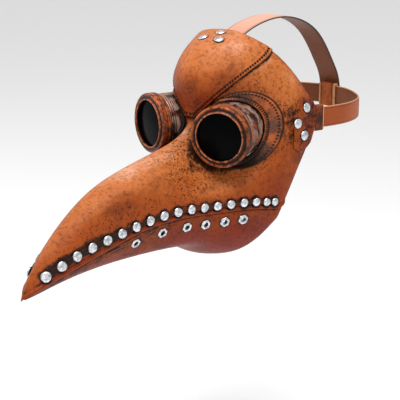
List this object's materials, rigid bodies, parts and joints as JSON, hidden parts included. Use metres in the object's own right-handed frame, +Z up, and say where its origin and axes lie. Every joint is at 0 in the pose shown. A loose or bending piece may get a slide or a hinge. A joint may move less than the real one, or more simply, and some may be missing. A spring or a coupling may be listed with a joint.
{
  "type": "plague doctor mask",
  "caption": "Long-beaked leather face mask with round goggles, a riveted beak seam, vent eyelets and buckled head straps.",
  "frame": {"origin": "middle of the wearer's head at temple height, inside the mask", "axes": "-Y forward along the beak's direction, +X to the wearer's left, +Z up"},
  "size_m": [0.1608, 0.4356, 0.2155],
  "materials": {
    "leather": "burnt-orange leather with a satin sheen and dark worn pits",
    "dark_leather": "dark brown leather",
    "strap_leather": "smooth tan-orange strap leather",
    "bronze": "mottled old bronze paint",
    "rim_finish": "coppery brown paint, satin",
    "lens": "black, glossy",
    "steel": "bright nickel plate"
  },
  "bodies": {
    "mask": {"face_shell": "leather", "jaw_panel": "leather", "forehead_panel": "leather", "goggle_barrel_left": "bronze", "goggle_barrel_right": "bronze", "eye_surround_left": "dark_leather", "eye_surround_right": "dark_leather", "goggle_rim_left": "rim_finish", "goggle_rim_right": "rim_finish", "lens_left": "lens", "lens_right": "lens", "lens_retainer_left": "bronze", "lens_retainer_right": "bronze", "beak_rivet_strip_left": "dark_leather", "beak_rivet_strip_right": "dark_leather", "temple_tab_left": "dark_leather", "temple_tab_right": "dark_leather", "rear_strap_left": "strap_leather", "rear_strap_right": "strap_leather", "top_strap": "strap_leather", "top_strap_loop": "strap_leather", "forehead_rivet_left": "steel", "forehead_rivet_right": "steel", "forehead_rivet_rear": "steel", "temple_rivet_front_left": "steel", "temple_rivet_upper_left": "steel", "temple_rivet_lower_left": "steel", "temple_rivet_front_right": "steel", "temple_rivet_upper_right": "steel", "temple_rivet_lower_right": "steel", "eyelet_left_1": "steel", "eyelet_left_2": "steel", "eyelet_left_3": "steel", "eyelet_left_4": "steel", "eyelet_left_5": "steel", "eyelet_left_6": "steel", "eyelet_right_1": "steel", "eyelet_right_2": "steel", "eyelet_right_3": "steel", "eyelet_right_4": "steel", "eyelet_right_5": "steel", "eyelet_right_6": "steel"},
    "strap_keeper_left": {"strap_keeper_left": "dark_leather"},
    "strap_keeper_right": {"strap_keeper_right": "dark_leather"},
    "buckle_keeper": {"buckle_keeper": "dark_leather"},
    "buckle_frame": {"buckle_frame": "steel"},
    "buckle_prong": {"buckle_prong": "steel"}
  },
  "joints": [
    {"name": "buckle_frame_turn", "type": "hinge", "parent": "mask", "child": "buckle_frame", "pos_m": [-0.04696, 0.07897, 0.0099], "axis": [0, 0, 1], "range_deg": [0, 12]},
    {"name": "buckle_prong_turn", "type": "hinge", "parent": "buckle_frame", "child": "buckle_prong", "pos_m": [-0.04696, 0.07897, 0.0099], "axis": [0, 0, 1], "range_deg": [0, 20]},
    {"name": "buckle_keeper_slide", "type": "slide", "parent": "mask", "child": "buckle_keeper", "axis": [-0.829, -0.5592, 0], "range_m": [-0.001, 0.003]},
    {"name": "strap_keeper_left_slide", "type": "slide", "parent": "mask", "child": "strap_keeper_left", "axis": [0.2094, 0.9773, -0.0335], "range_m": [-0.001, 0.012]},
    {"name": "strap_keeper_right_slide", "type": "slide", "parent": "mask", "child": "strap_keeper_right", "axis": [-0.2094, 0.9773, -0.0335], "range_m": [-0.001, 0.012]}
  ]
}
